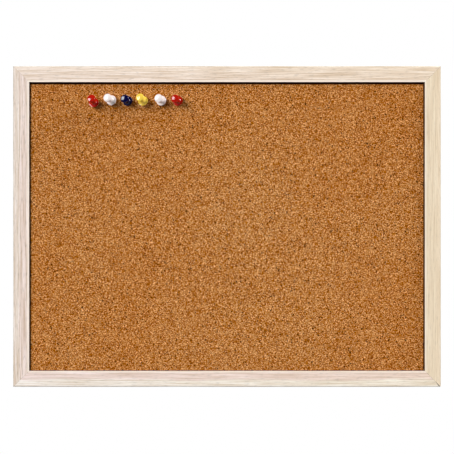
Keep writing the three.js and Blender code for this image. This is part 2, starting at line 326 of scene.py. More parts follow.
# %% [markdown]
# ## The cork sheet
#
# The cork is a sheet of pressed granules, sliced to size with a knife, so its edge is crumbly: a granule
# is missing here and there. A plain box would have an edge as sharp as glass. The sheet starts as a cube at
# the size of its solid, a little short at the top, where the knife left a dark line under the rail. Its rims
# are subdivided to about a granule's size and shaken a little, and the holes of the pins are bored along the
# lines that the pins slide on.

# %% Cork with a crumbly edge
EDGE_STRIP = 1.0 * MM
CRUMBLE = 0.16 * MM
CRUMBLE_SEED = 11
LONG_EDGE = 100 * MM
RIM_CUTS = (100, 2)
TOP_TRIM = 0.7 * MM
# A face looks along an axis where its normal has more than this share of it.
FACING = 0.9
cork_low, cork_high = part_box("cork_sheet")
cork_high.z -= TOP_TRIM


def close(a, b):
    """Whether two lengths are the same."""
    return abs(a - b) < SAME_PLACE


def on_cork_rim(point):
    """Whether a point is on the sheet's outline, seen from the front."""
    at_side = close(point.x, cork_low.x) or close(point.x, cork_high.x)
    return at_side or close(point.z, cork_low.z) or close(point.z, cork_high.z)


clear_selection()
bpy.ops.mesh.primitive_cube_add(size=1, location=(cork_low + cork_high) / 2)
cork = bpy.context.object
cork.name = "pressed_cork"
cork.scale = cork_high - cork_low
bpy.ops.object.transform_apply(location=True, rotation=True, scale=True)
open_mesh()
pick("FACE", lambda face: face.normal.y < -FACING)
bpy.ops.mesh.inset(thickness=EDGE_STRIP)
bpy.ops.mesh.delete(type="ONLY_FACE")
pick("FACE", lambda face: face.normal.y > FACING)
bpy.ops.mesh.delete(type="ONLY_FACE")
pick("EDGE", lambda edge: edge.calc_length() > LONG_EDGE)
for cuts in RIM_CUTS:
    bpy.ops.mesh.subdivide(number_cuts=cuts)
shaken = pick("VERT", lambda v: close(v.co.y, cork_low.y) and on_cork_rim(v.co))
bpy.ops.transform.vertex_random(offset=CRUMBLE, seed=CRUMBLE_SEED)
pick("EDGE", lambda edge: edge.is_boundary and edge.verts[0].co.y < (cork_low.y + cork_high.y) / 2)
bpy.ops.mesh.edge_face_add()
pick("EDGE", lambda edge: edge.is_boundary)
bpy.ops.mesh.edge_face_add()
tidy_mesh()
clear_selection()
print("cork", len(cork.data.polygons), "faces,", shaken, "rim vertices shaken")

# %% [markdown]
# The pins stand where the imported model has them. Each pin slides along its own joint, whose axis points
# out of the cork. A pin's handle is round, so the mean of its vertices lies on that axis, and the lowest
# vertex along the axis is in the plane of the flange's underside. That gives each pin's foot.

# %% Where the pins stand
PIN_COLOURS = ("red", "white", "navy", "yellow", "white", "red")
joint_of_body = {joint["child"]: joint for joint in frame["joints"]}
pins = []
for number, colour_name in enumerate(PIN_COLOURS, start=1):
    body = "pin_" + str(number)
    axis = Vector(joint_of_body[body]["axis"]).normalized()
    corners = [v.co for v in frame["nodes"][body + "_handle"].data.vertices]
    middle = sum(corners, Vector()) / len(corners)
    drop = min((corner - middle).dot(axis) for corner in corners)
    pins.append({"body": body, "colour": colour_name, "axis": axis, "foot": middle + axis * drop})
    print(body, colour_name, "foot at", [round(c / MM, 2) for c in pins[-1]["foot"]], "mm")

# %% [markdown]
# A needle leaves a round hole that leans as the pin does. A dark dot could be painted on, but a pulled pin
# has to show a real hole. A thin cylinder is the drill, and a Boolean modifier takes it out of the sheet.

# %% Pin holes in the cork
HOLE_RADIUS = 0.8 * MM
HOLE_REACH = 14 * MM
DRILL_FACETS = 20


def bore(piece, start, direction, radius, reach):
    """Bores a round hole through a piece, the same reach both ways from a point on its line."""
    clear_selection()
    bpy.ops.mesh.primitive_cylinder_add(
        vertices=DRILL_FACETS, radius=radius, depth=2 * reach, location=start)
    drill = bpy.context.object
    drill.rotation_mode = "QUATERNION"
    drill.rotation_quaternion = direction.to_track_quat("Z", "Y")
    bpy.context.view_layer.update()
    cut_away(piece, drill)


for pin in pins:
    bore(cork, pin["foot"], pin["axis"], HOLE_RADIUS, HOLE_REACH)
settle(cork, smooth_below=5)
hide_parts("cork_sheet")
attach(cork, "board")
print("cork with holes", len(cork.data.polygons), "faces")

# %% [markdown]
# ## The push pins
#
# A push pin's handle is a turned form: a flange, a waist for the fingers and a domed head, moulded on a
# steel needle. It could be built from stacked cylinders, but the smooth waist wants a lathe, which needs
# half the outline. The head and the flange are a little wider than the solids have them, as the photograph
# shows.

# %% Outline of a handle
HANDLE_LENGTH = 10.8 * MM
HEAD_RADIUS = 3.85 * MM
HEAD_RIM = 1.0 * MM
HEAD_DOME = 1.0 * MM
WAIST_RADIUS = 2.0 * MM
FLANGE_RADIUS = 4.7 * MM
FLANGE_RIM = 1.1 * MM
FLANGE_SLOPE = 0.7 * MM
RIM_ROUNDING = 0.35 * MM
FLANGE_ROUNDING = 0.55 * MM
NEEDLE_RADIUS = 0.55 * MM
NEEDLE_ROOT = 6 * MM
CURVE_STEPS = 8


def bent(start, corner, end):
    """Points of a smooth curve from start to end that leaves and arrives in line with a corner."""
    points = []
    for step in range(1, CURVE_STEPS + 1):
        t = step / CURVE_STEPS
        points.append(tuple((1 - t) ** 2 * a + 2 * t * (1 - t) * b + t * t * c
                            for a, b, c in zip(start, corner, end)))
    return points


def handle_outline():
    """Half a handle, from the needle's bore round the flange, waist and head to the top."""
    head_base = HANDLE_LENGTH - HEAD_DOME - HEAD_RIM
    rim_top = head_base + HEAD_RIM
    flange_side = (FLANGE_RADIUS, RIM_ROUNDING)
    flange_edge = (FLANGE_RADIUS, FLANGE_RIM - FLANGE_ROUNDING)
    flange_top = (FLANGE_RADIUS - FLANGE_ROUNDING, FLANGE_RIM)
    waist = (WAIST_RADIUS, (FLANGE_RIM + head_base) / 2)
    head_under = (HEAD_RADIUS - RIM_ROUNDING, head_base)
    head_side = (HEAD_RADIUS, head_base + RIM_ROUNDING)
    head_edge = (HEAD_RADIUS, rim_top - RIM_ROUNDING)
    shoulder = (HEAD_RADIUS, rim_top + RIM_ROUNDING / 3)
    dome_foot = (HEAD_RADIUS - RIM_ROUNDING, rim_top + RIM_ROUNDING)
    dome_top = (0, HANDLE_LENGTH)
    outline = [(0, NEEDLE_ROOT), (NEEDLE_RADIUS, NEEDLE_ROOT), (NEEDLE_RADIUS, 0)]
    outline += [(FLANGE_RADIUS - RIM_ROUNDING, 0)]
    outline += bent(outline[-1], (FLANGE_RADIUS, 0), flange_side)
    outline += bent(flange_edge, (FLANGE_RADIUS, FLANGE_RIM), flange_top)
    outline += bent(flange_top, (WAIST_RADIUS, FLANGE_RIM + FLANGE_SLOPE), waist)
    outline += bent(waist, (WAIST_RADIUS, head_base), head_under)
    outline += bent(head_under, (HEAD_RADIUS, head_base), head_side)
    outline += bent(head_edge, shoulder, dome_foot)
    outline += bent(dome_foot, (HEAD_RADIUS / 2, HANDLE_LENGTH), dome_top)
    return outline


print("handle", HANDLE_LENGTH / MM, "mm high, drawn with", len(handle_outline()), "points")

# %% [markdown]
# The needle is a straight wire with a slender point. It stops just short of the end of its bore in the
# handle, so that the two pieces share no face there.

# %% Outline of a needle
NEEDLE_REACH = 9 * MM
NEEDLE_POINT = 2 * MM
NEEDLE_PLAY = 0.02 * MM
# Shares of the needle's radius and of the point's length on the way up from the tip.
NEEDLE_TAPER = ((0.3, 0.25), (0.75, 0.65))


def needle_outline():
    """Half a needle, from its tip to just short of the end of the handle's bore."""
    top = NEEDLE_ROOT - NEEDLE_PLAY
    outline = [(0, -NEEDLE_REACH)]
    outline += [(NEEDLE_RADIUS * wide, NEEDLE_POINT * high - NEEDLE_REACH) for wide, high in NEEDLE_TAPER]
    outline += [(NEEDLE_RADIUS, NEEDLE_POINT - NEEDLE_REACH), (NEEDLE_RADIUS, top), (0, top)]
    return outline


print("needle drawn with", len(needle_outline()), "points")

# %% [markdown]
# Spin is Blender's lathe: the outline is drawn as a chain of edges and swept once round the axis.

# %% Spin handle and needle
LATHE_STEPS = 56


def spin_outline(name, outline):
    """Draws an outline of radii and heights, and sweeps it once round the Z axis."""
    piece = draw_chain(name, [(radius, 0, height) for radius, height in outline])
    bpy.ops.mesh.select_all(action="SELECT")
    bpy.ops.mesh.spin(steps=LATHE_STEPS, angle=2 * math.pi, center=(0, 0, 0), axis=(0, 0, 1))
    tidy_mesh()
    clear_selection()
    return piece


handle_pattern = spin_outline("handle_pattern", handle_outline())
needle_pattern = spin_outline("needle_pattern", needle_outline())
print("handle", len(handle_pattern.data.polygons), "faces, needle", len(needle_pattern.data.polygons))

# %% [markdown]
# One handle and one needle serve all six pins. Each pin slides by itself, so it gets its own copies, turned
# from the lathe's axis to its lean. The turn then goes into the mesh, as every finished piece has it.

# %% Stand the pins
handles = []
needles = []
for pin in pins:
    for pattern, kind, made in ((handle_pattern, "handle", handles), (needle_pattern, "needle", needles)):
        piece = copy_of(pattern, pin["body"] + "_turned_" + kind)
        piece.location = pin["foot"]
        piece.rotation_mode = "QUATERNION"
        piece.rotation_quaternion = pin["axis"].to_track_quat("Z", "Y")
        settle(piece)
        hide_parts(pin["body"] + "_" + kind)
        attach(piece, pin["body"])
        made.append(piece)
for pattern in (handle_pattern, needle_pattern):
    bpy.data.objects.remove(pattern)
print("stood", len(handles), "handles on", len(needles), "needles")

# %% [markdown]
# ## The ring hangers
#
# Behind each stile a strip of sheet steel is folded round the straight leg of a wire ring, and one screw
# holds both leaves. The strip is modelled as it is folded: an edge as wide as the strip is drawn up the
# lower leaf, spun round the eye, bent back and drawn down the upper leaf. Solidify then gives the sheet
# its thickness, and the corners of the leaves are rounded with a bevel.

# %% Fold a strap
SHEET = 0.78 * MM
SEAT_GAP = 0.12 * MM
STRAP_WIDTH = 7 * MM
STRAP_LENGTH = 17 * MM
LEAF_ROUNDING = 3.3 * MM
SHEET_ARRIS = 0.12 * MM
LEAF_GAP = 0.02 * MM
LEAF_STEPS = 8
EYE_TURN = math.radians(270)
RETURN_TURN = math.radians(90)
FOLD_STEP = math.radians(10)
SHARP_FOLD = math.radians(50)
RING_AXIS = joint_of_body["left_ring"]["pos_m"][1]

lower_leaf = SEAT_GAP + SHEET / 2
upper_leaf = lower_leaf + SHEET + LEAF_GAP
eye_line = RING_AXIS - lower_leaf
return_bend = RING_AXIS - upper_leaf


def stands_at_leaf_corner(edge):
    """Whether an edge is the short upright one at a lower corner of a leaf."""
    start, end = (v.co for v in edge.verts)
    return close(start.z, -STRAP_LENGTH) and close(end.z, -STRAP_LENGTH) and close(start.x, end.x)


def fold_strap():
    """Folds a strap whose ring axis is level with the origin, with the stile's back at Y = 0."""
    ends = [(-STRAP_WIDTH / 2, lower_leaf, -STRAP_LENGTH), (STRAP_WIDTH / 2, lower_leaf, -STRAP_LENGTH)]
    strap = draw_chain("strap_pattern", ends)
    bpy.ops.mesh.select_all(action="SELECT")
    bpy.ops.mesh.extrude_region_move(TRANSFORM_OT_translate={"value": (0, 0, STRAP_LENGTH)})
    eye_steps = round(EYE_TURN / FOLD_STEP)
    bpy.ops.mesh.spin(steps=eye_steps, angle=EYE_TURN, center=(0, RING_AXIS, 0), axis=(1, 0, 0))
    bend_centre = (0, RING_AXIS, -eye_line - return_bend)
    bend_steps = round(RETURN_TURN / FOLD_STEP)
    bpy.ops.mesh.spin(steps=bend_steps, angle=RETURN_TURN, center=bend_centre, axis=(-1, 0, 0))
    leaf_drop = STRAP_LENGTH - eye_line - return_bend
    bpy.ops.mesh.extrude_region_move(TRANSFORM_OT_translate={"value": (0, 0, -leaf_drop)})
    tidy_mesh()
    clear_selection()
    finish_with(strap, "SOLIDIFY", thickness=SHEET, offset=0, use_even_offset=True)
    open_mesh()
    tidy_mesh()
    pick("EDGE", stands_at_leaf_corner)
    bpy.ops.mesh.bevel(offset=LEAF_ROUNDING, segments=LEAF_STEPS, affect="EDGES")
    clear_selection()
    finish_with(
        strap, "BEVEL", width=SHEET_ARRIS, segments=CHAMFER_STEPS,
        limit_method="ANGLE", angle_limit=SHARP_FOLD)
    return strap


strap_pattern = fold_strap()
print("strap", len(strap_pattern.data.polygons), "faces")

# %% [markdown]
# The ring is a length of round wire bent to a D, its two ends meeting inside the eye. A circle of vertices
# is the wire's section. Extruding it makes the straight stretches, spinning it makes the bends, and the two
# open ends are closed last.

# %% Bend a ring
WIRE_RADIUS = 0.8 * MM
RING_HALF_WIDTH = 5.2 * MM
RING_REACH = 9.5 * MM
RING_CORNER = 1.3 * MM
BUTT_GAP = 0.4 * MM
WIRE_FACETS = 20
QUARTER_BEND_STEPS = 16


def bend_ring():
    """Bends a ring that hangs from the X axis, its bow downwards."""
    leg_end = RING_HALF_WIDTH - RING_CORNER
    bow_centre = RING_REACH - RING_HALF_WIDTH
    quarter = math.pi / 2
    clear_selection()
    bpy.ops.mesh.primitive_circle_add(
        vertices=WIRE_FACETS, radius=WIRE_RADIUS,
        location=(BUTT_GAP / 2, 0, 0), rotation=(0, quarter, 0))
    ring = bpy.context.object
    ring.name = "ring_pattern"
    bpy.ops.object.transform_apply(location=True, rotation=True, scale=True)
    open_mesh()
    leg = leg_end - BUTT_GAP / 2
    side = bow_centre - RING_CORNER
    bends = (
        ((leg, 0, 0), quarter, (leg_end, 0, -RING_CORNER)),
        ((0, 0, -side), 2 * quarter, (0, 0, -bow_centre)),
        ((0, 0, side), quarter, (-leg_end, 0, -RING_CORNER)),
    )
    for straight, angle, centre in bends:
        bpy.ops.mesh.extrude_region_move(TRANSFORM_OT_translate={"value": straight})
        steps = round(QUARTER_BEND_STEPS * angle / quarter)
        bpy.ops.mesh.spin(steps=steps, angle=angle, center=centre, axis=(0, -1, 0))
    bpy.ops.mesh.extrude_region_move(TRANSFORM_OT_translate={"value": (leg, 0, 0)})
    tidy_mesh()
    for end in (-1, 1):
        pick("EDGE", lambda edge: edge.is_boundary and end * edge.verts[0].co.x > 0)
        bpy.ops.mesh.edge_face_add()
    tidy_mesh()
    clear_selection()
    return ring


ring_pattern = bend_ring()
print("ring", len(ring_pattern.data.polygons), "faces, size",
      [round(d / MM, 2) for d in ring_pattern.dimensions], "mm")

# %% [markdown]
# The screw has a domed pan head with a cross recess. The head and shank are spun in one outline, and two
# tapered bars, crossed at right angles, cut the recess.

# %% Turn a screw
SCREW_HEAD_RADIUS = 2.3 * MM
SCREW_HEAD_HEIGHT = 1.4 * MM
SHANK_RADIUS = 1.2 * MM
SCREW_LENGTH = 9 * MM
SCREW_POINT = 2.4 * MM
RECESS_REACH = 1.35 * MM
RECESS_WIDTH = 0.55 * MM
RECESS_DEPTH = 0.9 * MM
RECESS_TAPER = (0.35, 0.6, 1)


def recess_bar(turn):
    """One tapered bar of the cross recess, standing in the top of the head."""
    clear_selection()
    bpy.ops.mesh.primitive_cube_add(size=1, location=(0, 0, SCREW_HEAD_HEIGHT))
    bar = bpy.context.object
    bar.scale = (2 * RECESS_REACH, RECESS_WIDTH, 2 * RECESS_DEPTH)
    bar.rotation_euler = (0, 0, turn)
    bpy.ops.object.transform_apply(location=False, rotation=False, scale=True)
    open_mesh()
    pick("FACE", lambda face: face.normal.z < -FACING)
    bpy.ops.transform.resize(value=RECESS_TAPER)
    clear_selection()
    bpy.context.view_layer.update()
    return bar


def turn_screw():
    """Turns a screw that points down the Z axis, the seat of its head at 0."""
    head_edge = (SCREW_HEAD_RADIUS, SCREW_HEAD_HEIGHT / 4)
    outline = [
        (0, -SCREW_LENGTH),
        (SHANK_RADIUS, SCREW_POINT - SCREW_LENGTH),
        (SHANK_RADIUS, 0),
        (SCREW_HEAD_RADIUS - SHEET_ARRIS, 0),
        (SCREW_HEAD_RADIUS, SHEET_ARRIS),
        head_edge,
    ]
    outline += bent(head_edge, (SCREW_HEAD_RADIUS, SCREW_HEAD_HEIGHT), (0, SCREW_HEAD_HEIGHT))
    screw = spin_outline("screw_pattern", outline)
    for turn in (math.pi / 4, 3 * math.pi / 4):
        cut_away(screw, recess_bar(turn))
    return screw


screw_pattern = turn_screw()
print("screw", len(screw_pattern.data.polygons), "faces")

# %% [markdown]
# Both hangers are copies. The joint that a ring swings on says where its hanger is. The ring leans out by
# the small angle that lays its bow on the strap.

# %% Hang the hangers
SCREW_DROP = 13.2 * MM
SHANK_CLEARANCE = 0.25 * MM
REST_GAP = 0.3 * MM
shank_hole = SHANK_RADIUS + SHANK_CLEARANCE
front_to_back = Vector((0, 1, 0))
bow_height = SEAT_GAP + 2 * SHEET + WIRE_RADIUS + REST_GAP
rest_lean = math.asin((bow_height - RING_AXIS) / RING_REACH)
steel_pieces = []
for side in ("left", "right"):
    axis_place = Vector(joint_of_body[side + "_ring"]["pos_m"])
    foot = Vector((axis_place.x, 0, axis_place.z))
    screw_seat = foot + Vector((0, 2 * SEAT_GAP + 2 * SHEET, -SCREW_DROP))
    strap = copy_of(strap_pattern, side + "_folded_strap")
    strap.location = foot
    settle(strap)
    bore(strap, screw_seat, front_to_back, shank_hole, SCREW_LENGTH)
    ring = copy_of(ring_pattern, side + "_wire_ring")
    ring.location = axis_place
    ring.rotation_euler = (rest_lean, 0, 0)
    settle(ring)
    screw = copy_of(screw_pattern, side + "_pan_screw")
    screw.location = screw_seat
    screw.rotation_euler = (-math.pi / 2, 0, 0)
    settle(screw)
    bore(rails[side + "_stile"], screw_seat, front_to_back, shank_hole, SCREW_LENGTH)
    hanger = ((strap, "strap", "board"), (ring, "ring", side + "_ring"), (screw, "screw", "board"))
    for piece, kind, body in hanger:
        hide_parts(side + "_hanger_" + kind)
        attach(piece, body)
        steel_pieces.append(piece)
for pattern in (strap_pattern, ring_pattern, screw_pattern):
    bpy.data.objects.remove(pattern)
print("hung", [piece.name for piece in steel_pieces])

# %% [markdown]
# The rails are now cut all over. Smooth shading would bend the light across their wide flat faces, so a
# Weighted Normal modifier gives each rounded edge its smoothness and leaves the flat faces flat.

# %% Flat faces stay flat
for rail in rails.values():
    finish_with(rail, "WEIGHTED_NORMAL", keep_sharp=True)
print("weighted the normals of", len(rails), "rails")

# %% [markdown]
# ## Materials
#
# Colours are written as sRGB hex values, as a paint chart gives them, and turned to the linear values that
# the shader works in. One small function adds a node, sets its settings and links its inputs. Another gives
# a shader its colour pattern and the relief that goes with it. Every pattern is sized in millimetres: a
# texture's scale is how many times it repeats in a metre.


# %% Helpers for materials
def colour(hex_code):
    """The linear colour of an sRGB hex code."""
    channels = [int(hex_code[i:i + 2], 16) / 255 for i in (1, 3, 5)]
    return tuple(c / 12.92 if c <= 0.04045 else ((c + 0.055) / 1.055) ** 2.4 for c in channels) + (1.0,)


def per_metre(millimetres):
    """The texture scale of a pattern that repeats after so many millimetres."""
    return 1000 / millimetres


def add(tree, kind, inputs, **settings):
    """Adds a node, sets its settings, and sets or links each named or numbered input."""
    node = tree.nodes.new(kind)
    for setting, value in settings.items():
        setattr(node, setting, value)
    for socket, value in inputs.items():
        if isinstance(value, bpy.types.NodeSocket):
            tree.links.new(value, node.inputs[socket])
        else:
            node.inputs[socket].default_value = value
    return node


def new_finish(name, **sockets):
    """A new material with its node tree and its shader, some of whose sockets are set."""
    material = bpy.data.materials.new(name)
    material.use_nodes = True
    shader = material.node_tree.nodes["Principled BSDF"]
    for socket, value in sockets.items():
        shader.inputs[socket.replace("_", " ")].default_value = value
    return material, material.node_tree, shader


def surface(tree, shader, tone, height, strength, depth):
    """Gives a shader its colour pattern, and a relief of the given strength and depth in millimetres."""
    relief = add(tree, "ShaderNodeBump", {
        "Height": height, "Strength": strength, "Distance": depth * MM}).outputs[0]
    tree.links.new(tone, shader.inputs["Base Color"])
    tree.links.new(relief, shader.inputs["Normal"])


def wear(piece, material):
    """Gives a piece one material all over."""
    piece.data.materials.clear()
    piece.data.materials.append(material)


# %% [markdown]
# ### Planed pine
#
# The moulding is planed softwood without varnish: pale, dull, with long soft growth streaks and short dark
# dashes where the plane opened the fibres. One image of wood could be wrapped round the frame, but its grain
# would run the wrong way on two sides. The pattern is therefore made in the rail's own directions, and three
# noises are stretched along it. A Mapping node turns each rail back to lie as the top rail does, with its
# outer edge and its back at zero, so places across the face and towards the front are below zero. Sizes are
# in millimetres along, into and across the rail.

# %% Grain of the pine
STREAK = (48, 3, 1.1)
DASH = (7, 1, 0.8)
PATCH = (28, 6, 5)


def lie_of_rail(tree, quarter_turns, grain_shift):
    """Object coordinates, turned so that a rail lies as the top rail does."""
    half_span = (BOARD_WIDTH if quarter_turns % 2 else BOARD_HEIGHT) / 2
    turn = -quarter_turns * math.pi / 2
    centre = Vector((BOARD_CENTRE * math.sin(turn), 0, BOARD_CENTRE * math.cos(turn)))
    place = add(tree, "ShaderNodeTexCoord", {}).outputs["Object"]
    return add(tree, "ShaderNodeMapping", {
        "Vector": place, "Rotation": (0, turn, 0),
        "Location": Vector((grain_shift, 0, -half_span)) - centre}).outputs["Vector"]


def grain(tree, lie, size, detail):
    """Noise stretched to a size in millimetres along, into and across the rail."""
    stretched = add(tree, "ShaderNodeVectorMath", {
        0: lie, 1: tuple(per_metre(s) for s in size)}, operation="MULTIPLY").outputs[0]
    return add(tree, "ShaderNodeTexNoise", {
        "Vector": stretched, "Scale": 1, "Detail": detail, "Roughness": 0.6}).outputs[0]


print("pine streaks", STREAK[0], "mm long and", STREAK[2], "mm wide")

# %% [markdown]
# The wood's ground tone differs a little between the inner and the outer part of the face, with a boundary
# that wanders as growth rings do. Shade is painted grey on the rounded outer arris at the front, which turns
# away from the light. Late wood is darker and browner than early wood, and an opened fibre is darker still.

# %% Tones of the pine
TONE_WANDER = 6 * MM
BLEND_START = 2 * MM
BLEND_END = 4.5 * MM
# Painted shade: the rounded outer arris is made greyer towards the front.
ARRIS_SHADE_START = -1.3 * MM
ARRIS_SHADE_FULL = -0.3 * MM
ARRIS_SHADE_BACK = -12.5 * MM
ARRIS_SHADE_FRONT = -14 * MM
ARRIS_SHADE_SHARE = 0.8
EARLY_WOOD = (0.17, 0.21, 0.27)
LATE_WOOD = (0.18, 0.26, 0.36)
OPENED_FIBRE = 0.22


def ground_tone(tree, axes, patches, inner, outer, boundary, arris):
    """An inner and an outer tone that meet at a wandering boundary, and painted shade on the outer arris."""
    wander = add(tree, "ShaderNodeMath", {0: patches, 1: TONE_WANDER}, operation="MULTIPLY").outputs[0]
    line = add(tree, "ShaderNodeMath", {0: axes.outputs["Z"], 1: wander}, operation="ADD").outputs[0]
    side = add(tree, "ShaderNodeMapRange", {
        "Value": line, "From Min": BLEND_START - boundary, "From Max": BLEND_END - boundary}).outputs[0]
    ground = add(tree, "ShaderNodeMix", {
        0: side, 6: colour(inner), 7: colour(outer)}, data_type="RGBA").outputs[2]
    at_edge = add(tree, "ShaderNodeMapRange", {
        "Value": axes.outputs["Z"], "From Min": ARRIS_SHADE_START, "From Max": ARRIS_SHADE_FULL,
        "To Max": ARRIS_SHADE_SHARE}).outputs[0]
    at_front = add(tree, "ShaderNodeMapRange", {
        "Value": axes.outputs["Y"], "From Min": ARRIS_SHADE_BACK, "From Max": ARRIS_SHADE_FRONT}).outputs[0]
    arris_painted_shade = add(tree, "ShaderNodeMath", {0: at_edge, 1: at_front}, operation="MULTIPLY").outputs[0]
    return add(tree, "ShaderNodeMix", {
        0: arris_painted_shade, 6: ground, 7: colour(arris)}, data_type="RGBA").outputs[2]


def growth_shade(tree, streaks, dashes, contrast):
    """The shades of early wood, late wood and opened fibres, stronger with more contrast."""
    late = add(tree, "ShaderNodeMapRange", {
        "Value": streaks, "From Min": 0.36, "From Max": 0.64}).outputs[0]
    early_tint = tuple(1 + share * contrast for share in EARLY_WOOD) + (1,)
    late_tint = tuple(1 - share * contrast for share in LATE_WOOD) + (1,)
    growth = add(tree, "ShaderNodeMix", {
        0: late, 6: early_tint, 7: late_tint}, data_type="RGBA").outputs[2]
    fleck = add(tree, "ShaderNodeMapRange", {
        "Value": dashes, "From Min": 0.54, "From Max": 0.68,
        "To Min": 1, "To Max": 1 - OPENED_FIBRE * contrast}).outputs[0]
    return add(tree, "ShaderNodeVectorMath", {0: growth, 1: fleck}, operation="MULTIPLY").outputs[0]


print("pine handled over the outer", round(-ARRIS_SHADE_START / MM, 2), "mm of the face")

# %% [markdown]
# Age comes on top, and painted shade. The frame has mellowed towards its right-hand side, where the same
# wood is yellower. Shade is painted dark brown on the inner wall, behind the arris and in front of the
# groove, so the crevice round the cork is dark. Shade is painted on the cut ends too, so an open mitre is
# dark inside. A mitred end is the only face that looks both along the board and up or down, so the normal
# tells where the ends are.

# %% Age and painted shade on the pine
MELLOW_TINT = (1.0, 0.98, 0.89, 1)
# Painted shade in the crevice round the cork and inside the open mitre.
CREVICE_START = -14.8 * MM
CREVICE_FULL = -14.3 * MM
CREVICE_SHARE = 0.95
REAR_LIP_FRONT = -5 * MM
WALL_SKIN = 0.2 * MM
CUT_END_SLANT = 0.3


def mellow_tint(tree):
    """The tint of age, from none at the left of the board to yellower at its right."""
    place = add(tree, "ShaderNodeTexCoord", {}).outputs["Object"]
    beside = add(tree, "ShaderNodeSeparateXYZ", {"Vector": place}).outputs["X"]
    age = add(tree, "ShaderNodeMapRange", {
        "Value": beside, "From Min": -BOARD_WIDTH / 2, "From Max": BOARD_WIDTH / 2}).outputs[0]
    return add(tree, "ShaderNodeMix", {
        0: age, 6: (1, 1, 1, 1), 7: MELLOW_TINT}, data_type="RGBA").outputs[2]


def dark_places(tree, axes):
    """The share of painted shade: on the inner wall of the crevice and on the mitred ends."""
    sunk = add(tree, "ShaderNodeMapRange", {
        "Value": axes.outputs["Y"], "From Min": CREVICE_START, "From Max": CREVICE_FULL,
        "To Max": CREVICE_SHARE}).outputs[0]
    front_lip = add(tree, "ShaderNodeMath", {
        0: axes.outputs["Y"], 1: REAR_LIP_FRONT}, operation="LESS_THAN").outputs[0]
    wall = add(tree, "ShaderNodeMath", {
        0: axes.outputs["Z"], 1: WALL_SKIN - RAIL_WIDTH}, operation="LESS_THAN").outputs[0]
    on_wall = add(tree, "ShaderNodeMath", {0: front_lip, 1: wall}, operation="MULTIPLY").outputs[0]
    crevice_painted_shade = add(tree, "ShaderNodeMath", {0: sunk, 1: on_wall}, operation="MULTIPLY").outputs[0]
    normal = add(tree, "ShaderNodeTexCoord", {}).outputs["Normal"]
    facing = add(tree, "ShaderNodeSeparateXYZ", {"Vector": normal})
    slant = add(tree, "ShaderNodeMath", {
        0: facing.outputs["X"], 1: facing.outputs["Z"]}, operation="MULTIPLY").outputs[0]
    slope = add(tree, "ShaderNodeMath", {0: slant}, operation="ABSOLUTE").outputs[0]
    cut_end = add(tree, "ShaderNodeMath", {0: slope, 1: CUT_END_SLANT}, operation="GREATER_THAN").outputs[0]
    return add(tree, "ShaderNodeMath", {0: crevice_painted_shade, 1: cut_end}, operation="MAXIMUM").outputs[0]


print("dust starts", round((CREVICE_START + RAIL_DEPTH) / MM, 2), "mm behind the front")

# %% [markdown]
# The layers are put together from the ground tone up. A highlight is painted along the inner arris, paler
# than the face. Each rail was cut from another length of wood, so each has its own tones and grain.

# %% Pine on the rails
# A painted highlight: the inner arris is made paler than the face, more on some rails than on others.
ARRIS_HIGHLIGHT_START = -13.3 * MM
ARRIS_HIGHLIGHT_FULL = -13.6 * MM
PAINTED_HIGHLIGHT_PINE = "#fff3e4"
PAINTED_SHADE_BROWN = "#4a2208"


def pine(name, quarter_turns, inner, outer, boundary, arris, arris_highlight, contrast, grain_shift):
    """Planed pine for one rail: its tones, painted shade on its outer arris, a painted highlight on its
    inner one, and its grain.
    """
    material, tree, shader = new_finish(name, Roughness=0.62, IOR=1.5)
    lie = lie_of_rail(tree, quarter_turns, grain_shift)
    axes = add(tree, "ShaderNodeSeparateXYZ", {"Vector": lie})
    streaks = grain(tree, lie, STREAK, 3)
    dashes = grain(tree, lie, DASH, 2)
    patches = grain(tree, lie, PATCH, 2)
    toned = ground_tone(tree, axes, patches, inner, outer, boundary, arris)
    shade = growth_shade(tree, streaks, dashes, contrast)
    grained = add(tree, "ShaderNodeVectorMath", {0: toned, 1: shade}, operation="MULTIPLY").outputs[0]
    mellowed = add(tree, "ShaderNodeVectorMath", {
        0: grained, 1: mellow_tint(tree)}, operation="MULTIPLY").outputs[0]
    highlight_share = add(tree, "ShaderNodeMapRange", {
        "Value": axes.outputs["Z"], "From Min": ARRIS_HIGHLIGHT_START, "From Max": ARRIS_HIGHLIGHT_FULL,
        "To Max": arris_highlight}).outputs[0]
    highlighted = add(tree, "ShaderNodeMix", {
        0: highlight_share, 6: mellowed, 7: colour(PAINTED_HIGHLIGHT_PINE)}, data_type="RGBA").outputs[2]
    # Painted shade, dark brown, in the crevice round the cork and inside the open mitre.
    crevice_shaded = add(tree, "ShaderNodeMix", {
        0: dark_places(tree, axes), 6: highlighted, 7: colour(PAINTED_SHADE_BROWN)}, data_type="RGBA").outputs[2]
    height = add(tree, "ShaderNodeMath", {0: dashes, 1: streaks}, operation="ADD").outputs[0]
    surface(tree, shader, crevice_shaded, height, 0.25, 0.05)
    return material


